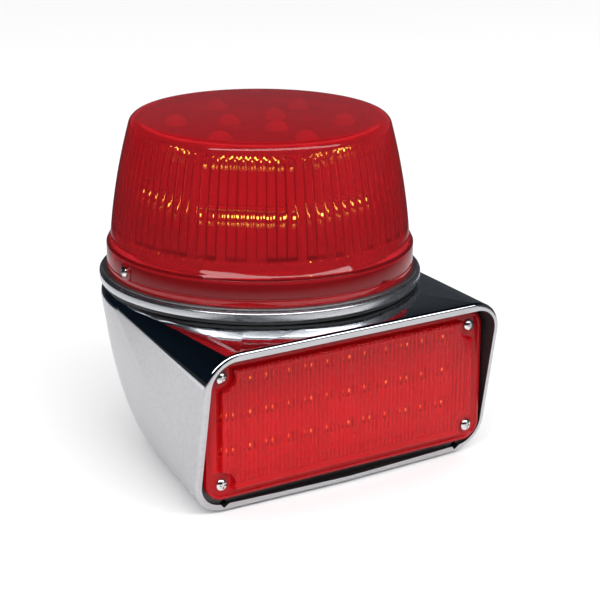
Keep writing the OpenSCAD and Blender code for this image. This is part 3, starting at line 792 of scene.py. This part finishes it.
def turned(name, outline, sides=256, closed=True):
    """Turns an outline of radius and height, in metres, about the beacon's axis."""
    clear()
    r, z = outline[0]
    bpy.ops.mesh.primitive_circle_add(vertices=sides, radius=r, location=(axis_x, axis_y, z))
    bpy.ops.object.mode_set(mode="EDIT")
    for r_next, z_next in outline[1:] + (outline[:1] if closed else []):
        bpy.ops.mesh.extrude_region_move(TRANSFORM_OT_translate={"value": (0, 0, z_next - z)})
        if r_next == 0:
            bpy.ops.mesh.merge(type="CENTER")
        elif r_next != r:
            bpy.ops.transform.resize(
                value=(r_next / r, r_next / r, 1), center_override=(axis_x, axis_y, z_next))
        r, z = r_next, z_next
    bpy.ops.mesh.select_all(action="SELECT")
    bpy.ops.mesh.remove_doubles(threshold=0.001 * mm)
    bpy.ops.mesh.normals_make_consistent(inside=False)
    return named(name)


def arc(r, z, size, start, stop, steps=5):
    """Points of an outline along an arc about (r, z), angles in degrees."""
    turns = [radians(start + (stop - start) * k / steps) for k in range(steps + 1)]
    return [(r + size * cos(a), z + size * sin(a)) for a in turns]


collar_low, collar_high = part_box("collar_ring")
collar_r = collar_high.x - axis_x
collar_in = 68 * mm
gasket_r = seam_high.x - axis_x
soft = 0.5 * mm
gasket = turned("collar_gasket_ring", [
    (collar_in, seam_low.z), *arc(gasket_r - soft, seam_low.z + soft, soft, -90, 0, 3),
    *arc(gasket_r - soft, seam_high.z - soft, soft, 0, 90, 3), (collar_in, seam_high.z)])
smooth(gasket, 40)
joined([gasket], "collar_gasket_ring", rubber, "collar_gasket")

foot, shoulder = 0.6 * mm, 1.5 * mm
collar = turned("collar", [
    (collar_in, collar_low.z), (collar_r - foot, collar_low.z), (collar_r, collar_low.z + foot),
    *arc(collar_r - shoulder, collar_high.z - shoulder, shoulder, 0, 90, 8),
    (collar_in, collar_high.z)], sides=320)
smooth(collar, 40)
collar_finish = metal("turned_collar", (0.90, 0.91, 0.95), 0.22, 0.32, scale=300,
                      pull=(0.3, 0.3, 14), bump=0.03)
joined([collar], "collar_turned", collar_finish, "collar_ring")

# ---------- The beacon's base, driver board and standoffs ----------
# A cast pan with an upright rim that the dome drops over. Its satin flange shows as a thin grey land
# round the foot of the dome. The driver board stands on three brass pillars inside.
base_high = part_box("beacon_base")[1]
land_r = base_high.x - axis_x
rim_top = base_high.z
pan_z = collar_high.z + 2.8 * mm
land_z = collar_high.z + 1.35 * mm
rim_r, rim_in, pan_hole = 82.6 * mm, 79.5 * mm, 12 * mm
inner_r, land_round, rim_round, pan_round = collar_r - 3 * mm, 0.4 * mm, 0.5 * mm, 2 * mm
pan = turned("beacon_pan", [
    (pan_hole, collar_high.z), (inner_r, collar_high.z), (inner_r, collar_high.z + land_round),
    (land_r, collar_high.z + land_round),
    *arc(land_r - land_round, land_z - land_round, land_round, 0, 90, 4), (rim_r, land_z),
    *arc(rim_r - rim_round, rim_top - rim_round, rim_round, 0, 90, 3),
    (rim_in, rim_top), (rim_in, pan_z + pan_round),
    *arc(rim_in - pan_round, pan_z + pan_round, pan_round, 0, -90, 4), (pan_hole, pan_z)])
bolt_hole_r, bolt_hole_long = 2.8 * mm, 12 * mm
for a in bolt_turns:
    spot = (axis_x + bolt_r * cos(a), axis_y + bolt_r * sin(a), pan_z)
    worked(pan, rod("bolt_hole", spot, bolt_hole_r, bolt_hole_long, sides=32, inside=False))
smooth(pan, 35)
satin_cast = metal("satin_casting", (0.42, 0.42, 0.44), 0.35, 0.5, scale=300, bump=0.03)
joined([pan], "beacon_pan", satin_cast, "beacon_base")
finish(["board_standoffs"], metal("turned_brass", (0.78, 0.55, 0.22), 0.15, 0.3, pull=(1, 1, 6)))
finish(["driver_parts"], moulded(
    "black_parts", (0.015, 0.015, 0.017), (0.03, 0.03, 0.032), 0.3, 0.45))

# ---------- The LED column ----------
# A hexagonal aluminium extrusion with two tiers of LED boards, each row between plated troughs, under
# a matt disc that carries nine round moulded caps: six near its rim and three inside them.
finish(["led_column"], metal(
    "column_extrusion", (0.86, 0.86, 0.87), 0.35, 0.5, scale=500, pull=(1, 1, 0.05)))
led.data.materials[1] = beacon_chip
face_turn, faces, per_face, led_pitch = radians(20), 6, 8, 5.2 * mm
board_flat = 46.6 * mm
for tier in ("lower", "upper"):
    low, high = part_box(tier + "_emitters")
    level_z = (low.z + high.z) / 2
    populated(tier + "_leds", [
        Matrix.Translation((axis_x, axis_y, level_z)) @ Matrix.Rotation(face_turn + k * pi / 3, 4, "Z")
        @ Matrix.Translation(((i - (per_face - 1) / 2) * led_pitch, -board_flat, 0)) @ forward
        for k in range(faces) for i in range(per_face)], tier + "_emitters")
bpy.data.objects.remove(led)
finish(["top_plate"], metal("matt_plate", (0.10, 0.10, 0.105), 0.4, 0.6, scale=500, bump=0.1))

cap_low, cap_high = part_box("top_caps")
cap_r, cap_ring_r, cap_inner_r = 6.5 * mm, 46 * mm, 17 * mm
cap_h = cap_high.z - cap_low.z
cap_spots = [(cap_ring_r, pi / 6 + k * pi / 3) for k in range(6)]
cap_spots += [(cap_inner_r, pi / 6 + k * 2 * pi / 3) for k in range(3)]
caps = []
for r, a in cap_spots:
    clear()
    bpy.ops.mesh.primitive_uv_sphere_add(
        segments=32, ring_count=16, radius=cap_r,
        location=(axis_x + r * cos(a), axis_y + r * sin(a), cap_low.z))
    cap = named("cap")
    bpy.ops.object.mode_set(mode="EDIT")
    bpy.ops.mesh.select_all(action="SELECT")
    bpy.ops.mesh.bisect(plane_co=cap_low, plane_no=(0, 0, -1), use_fill=True, clear_outer=True)
    bpy.ops.mesh.select_all(action="SELECT")
    bpy.ops.transform.resize(value=(1, 1, cap_h / cap_r), center_override=(0, 0, cap_low.z))
    bpy.ops.object.mode_set(mode="OBJECT")
    smooth(cap, 60)
    caps.append(cap)
cap_finish = moulded("cap_moulding", (0.9, 0.88, 0.82), (0.8, 0.78, 0.7), 0.15, 0.25,
                     bump=0.05, coat=0.3)
joined(caps, "cap_set", cap_finish, "top_caps")

# ---------- The dome ----------
# Red polycarbonate, moulded in one: a plain skirt that drops over the base's rim, a sloping ledge, a
# side wall whose inside is drawn into 96 upright flutes, and a plain crowned top.
finish(["dome_gasket"], rubber)
dome_low, dome_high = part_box("dome_lens")
skirt_foot, apex = dome_low.z, dome_high.z
skirt_r = 85.8 * mm
wall_r, crown_r = 83.3 * mm, 70 * mm
taper, belly = 5.5 * mm, 5.9 * mm
dome_t = 2.7 * mm
wall_foot, crown_z = skirt_foot + 19.4 * mm, apex - 3.7 * mm
wall_top = crown_z - 2.0 * mm
dome_flutes, per_flute = 96, 8
flute_rise, foot_rise = 0.9 * mm, 2.5 * mm


def wall_at(u):
    """Outer radius of the side wall, u from 0 at its foot to 1 at its top."""
    return wall_r - taper * u - belly * u * u


# The outline turns from the wall into the crown on a rounded corner, between two angles in degrees.
corner_in, corner_z, corner_r = 66.7 * mm, crown_z - 5.7 * mm, 6 * mm
corner_from, corner_to = 15.4, 84
side_share, side_steps, crown_steps = 0.955, 14, 10
wall_h = wall_top - wall_foot
crown = []
for k in range(crown_steps + 1):
    r = corner_in * (1 - k / crown_steps)
    crown.append((r, crown_z + (apex - crown_z) * (1 - (r / crown_r) ** 2)))
side_at = [side_share * k / side_steps for k in range(side_steps + 1)]
outer = [
    *arc(skirt_r - 0.5 * mm, skirt_foot + 0.5 * mm, 0.5 * mm, -90, 0, 3),
    (skirt_r, skirt_foot + 3.2 * mm), (skirt_r - 0.5 * mm, skirt_foot + 3.7 * mm),
    (skirt_r - 0.5 * mm, skirt_foot + 4.2 * mm), (skirt_r - 0.1 * mm, skirt_foot + 4.7 * mm),
    *arc(skirt_r - 0.9 * mm, skirt_foot + 13.8 * mm, 0.8 * mm, 0, 60, 4),
    (skirt_r - 0.9 * mm, skirt_foot + 15.6 * mm), (skirt_r - 1.2 * mm, skirt_foot + 16.2 * mm),
    (skirt_r - 2.3 * mm, skirt_foot + 18.2 * mm), (skirt_r - 2.5 * mm, skirt_foot + 18.8 * mm),
    *[(wall_at(u), wall_foot + wall_h * u) for u in side_at],
    *arc(corner_in, corner_z, corner_r, corner_from, corner_to, 12), *crown]
row_shares = [0, 0.012, 0.05] + [k / 12 for k in range(1, 11)] + [0.88, 0.90]
row_z = [wall_foot + foot_rise + (wall_h - foot_rise) * u for u in row_shares]
socket_r, socket_top = rim_r + 0.4 * mm, rim_top + 1.2 * mm
inner = [
    (socket_r, skirt_foot), (socket_r, socket_top), (wall_r - dome_t, socket_top),
    *[(wall_at((z - wall_foot) / wall_h) - dome_t, z) for z in row_z],
    *arc(corner_in, corner_z, corner_r - dome_t, corner_from, corner_to, 8),
    *[(r, z - dome_t) for r, z in crown[:-1]]]
outline = list(reversed(inner)) + outer[:-1] + [(0, apex)]
dome = turned("dome", outline, dome_flutes * per_flute, closed=False)
bpy.ops.object.mode_set(mode="EDIT")
choose(dome, edges=lambda e: e.is_boundary)
bpy.ops.mesh.merge(type="CENTER")
turn_step = 2 * pi / (dome_flutes * per_flute)


def on_row(v):
    """True for a vertex of the inner wall within the flutes' height."""
    out = (v.co - Vector((axis_x, axis_y, v.co.z))).length
    inside = out < wall_at((v.co.z - wall_foot) / wall_h) - dome_t / 2
    return inside and row_z[1] - on_plane < v.co.z < row_z[-2] + on_plane


def turn_of(v):
    """Which of the flute's steps a vertex stands on."""
    angle = Vector((v.co.x - axis_x, v.co.y - axis_y)).angle_signed(Vector((1, 0)))
    return round(angle / turn_step) % per_flute


for k in range(1, per_flute):
    rise = flute_rise * sin(pi * k / per_flute)
    choose(dome, verts=lambda v: on_row(v) and turn_of(v) == k)
    scale = 1 - rise / (wall_r - dome_t - taper / 2)
    bpy.ops.transform.resize(value=(scale, scale, 1), center_override=(axis_x, axis_y, 0))
bpy.ops.mesh.select_all(action="SELECT")
bpy.ops.mesh.normals_make_consistent(inside=False)
bpy.ops.object.mode_set(mode="OBJECT")
low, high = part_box("dome_screws")
screw_at = (low.z + high.z) / 2
boss_r, boss_long, boss_round, boss_in = 5.5 * mm, 2.8 * mm, 0.35 * mm, 1.0 * mm
dome_hole_r, dome_hole_long = 1.7 * mm, 20 * mm
for side in (-1, 1):
    spot = Vector((axis_x + side * (skirt_r - boss_in), axis_y, screw_at))
    boss = rod("boss", spot, boss_r, boss_long, "X", 48, inside=False)
    bpy.ops.object.mode_set(mode="EDIT")
    choose(boss, edges=lambda e: all(side * (v.co.x - spot.x) > mm for v in e.verts))
    bpy.ops.mesh.bevel(offset=boss_round, segments=3, affect="EDGES")
    bpy.ops.object.mode_set(mode="OBJECT")
    worked(dome, boss, "UNION")
    worked(dome, rod("hole", spot, dome_hole_r, dome_hole_long, "X", 32, inside=False))
smooth(dome, 30)


def dome_flute(tree, place):
    """Upright flutes at one pitch round the wall, with painted shade at their feet, and painted shade on
    the skirt: a dark band above its bright foot, and a dark line under the ledge.
    """
    turn = maths(tree, "ARCTAN2", maths(tree, "SUBTRACT", place["Y"], axis_y), place["X"])
    tall = maths(tree, "MULTIPLY", remap(tree, place["Z"], row_z[1], row_z[2], 0, 1),
                 remap(tree, place["Z"], row_z[-3], row_z[-1], 1, 0))
    off = maths(tree, "ABSOLUTE", maths(tree, "SUBTRACT", place["Z"], row_z[2]))
    feet = remap(tree, off, 0.3 * mm, 1.8 * mm, 1, 0)
    # Painted shade: a dark band over the skirt, leaving a bright strip at its foot, and a dark line just
    # under the sloping ledge.
    rise = maths(tree, "SUBTRACT", place["Z"], skirt_foot)
    skirt_shade = maths(tree, "MULTIPLY", remap(tree, rise, 3.2 * mm, 4.2 * mm, 0, 0.62),
                 remap(tree, rise, 12.2 * mm, 12.8 * mm, 1, 0))
    ledge = maths(tree, "MULTIPLY", remap(tree, rise, 13.6 * mm, 13.9 * mm, 0, 0.8),
                  remap(tree, rise, 15.0 * mm, 15.5 * mm, 1, 0))
    at = maths(tree, "MULTIPLY", turn, dome_flutes / (2 * pi))
    return at, tall, feet, maths(tree, "MAXIMUM", skirt_shade, ledge)


dome_red = tinted("dome_red", (0.84, 0.030, 0.042), 0.03, 0.80, 1.49, dome_flute)
joined([dome], "dome_moulding", dome_red, "dome_lens")

head_x = skirt_r + 0.4 * mm
side_screws = [pan_screw("dome_screw_set", Matrix.Translation((axis_x + side * head_x, axis_y, screw_at))
                         @ Matrix.Rotation(side * pi / 2, 4, "Y"), 3 * mm, 2.2 * mm, 1.4 * mm, 9 * mm)
               for side in (-1, 1)]
joined(side_screws, "dome_screw_set", screw_steel, "dome_screws")

# ---------- The floor, lights and surroundings ----------
# A wide pale floor, one long soft box above and in front, and a pale room. Glossy surfaces see the
# far floor and the room dark, as they would on a small table with dim walls round it.
floor_r, floor_gap = 4.5, 0.1 * mm
near_to, far_from = 0.33, 0.55
clear()
bpy.ops.mesh.primitive_circle_add(
    vertices=96, radius=floor_r, fill_type="NGON", location=(0, 0, house_low.z - floor_gap))
studio = named("studio_floor")
floor_finish, tree, shader = new_material("floor_paint")
coords = node(tree, "TexCoord").outputs["Object"]
mottle = node(tree, "TexNoise", {"Vector": coords, "Scale": 3.0}).outputs["Fac"]
pale = mixed(tree, mottle, (0.95, 0.95, 0.95, 1), (0.97, 0.97, 0.97, 1))
reach = node(tree, "VectorMath", {0: coords}, operation="LENGTH").outputs["Value"]
glint = node(tree, "LightPath").outputs["Is Glossy Ray"]
dark_share = maths(tree, "MULTIPLY", glint, remap(tree, reach, near_to, far_from, 0, 1))
feed(tree, shader.inputs["Base Color"], mixed(tree, dark_share, pale, (0.02, 0.022, 0.025, 1)))
shader.inputs["Roughness"].default_value = 0.9
shader.inputs["Specular IOR Level"].default_value = 0.1
studio.data.materials.append(floor_finish)


def soft_box(name, place, aim, wide, tall, power):
    """A rectangular soft box that faces a point."""
    bpy.ops.object.light_add(type="AREA", location=place)
    box = bpy.context.object
    box.name = name
    box.data.shape = "RECTANGLE"
    box.data.size, box.data.size_y = wide, tall
    box.data.energy = power
    box.rotation_euler = (Vector(aim) - Vector(place)).to_track_quat("-Z", "Y").to_euler()


soft_box("key_box", (-0.39, -1.22, 1.30), (0, 0, 0.12), 4.4, 0.5, 38)
dark_left, dark_right = (0.003, 0.006, 0.011, 1), (0.05, 0.056, 0.064, 1)
dark_top = (0.002, 0.004, 0.007, 1)
room, backdrop = (0.9, 0.9, 0.91, 1), (1.0, 1.0, 1.0, 1)
world = bpy.data.worlds.new("studio")
bpy.context.scene.world = world
world.use_nodes = True
tree = world.node_tree
path = node(tree, "LightPath").outputs
mirror = maths(tree, "SUBTRACT", path["Is Glossy Ray"], path["Is Transmission Ray"], clamp=True)
coords = node(tree, "TexCoord").outputs["Generated"]
look = node(tree, "SeparateXYZ", {"Vector": coords}).outputs
walls = mixed(tree, remap(tree, look["X"], -0.1, 0.4, 0, 1), dark_left, dark_right)
dark = mixed(tree, remap(tree, look["Z"], 0.25, 0.6, 0, 1), walls, dark_top)
open_sky = mixed(tree, path["Is Camera Ray"], room, backdrop)
feed(tree, tree.nodes["Background"].inputs["Color"], mixed(tree, mirror, open_sky, dark))
bpy.context.scene.view_settings.view_transform = "Standard"
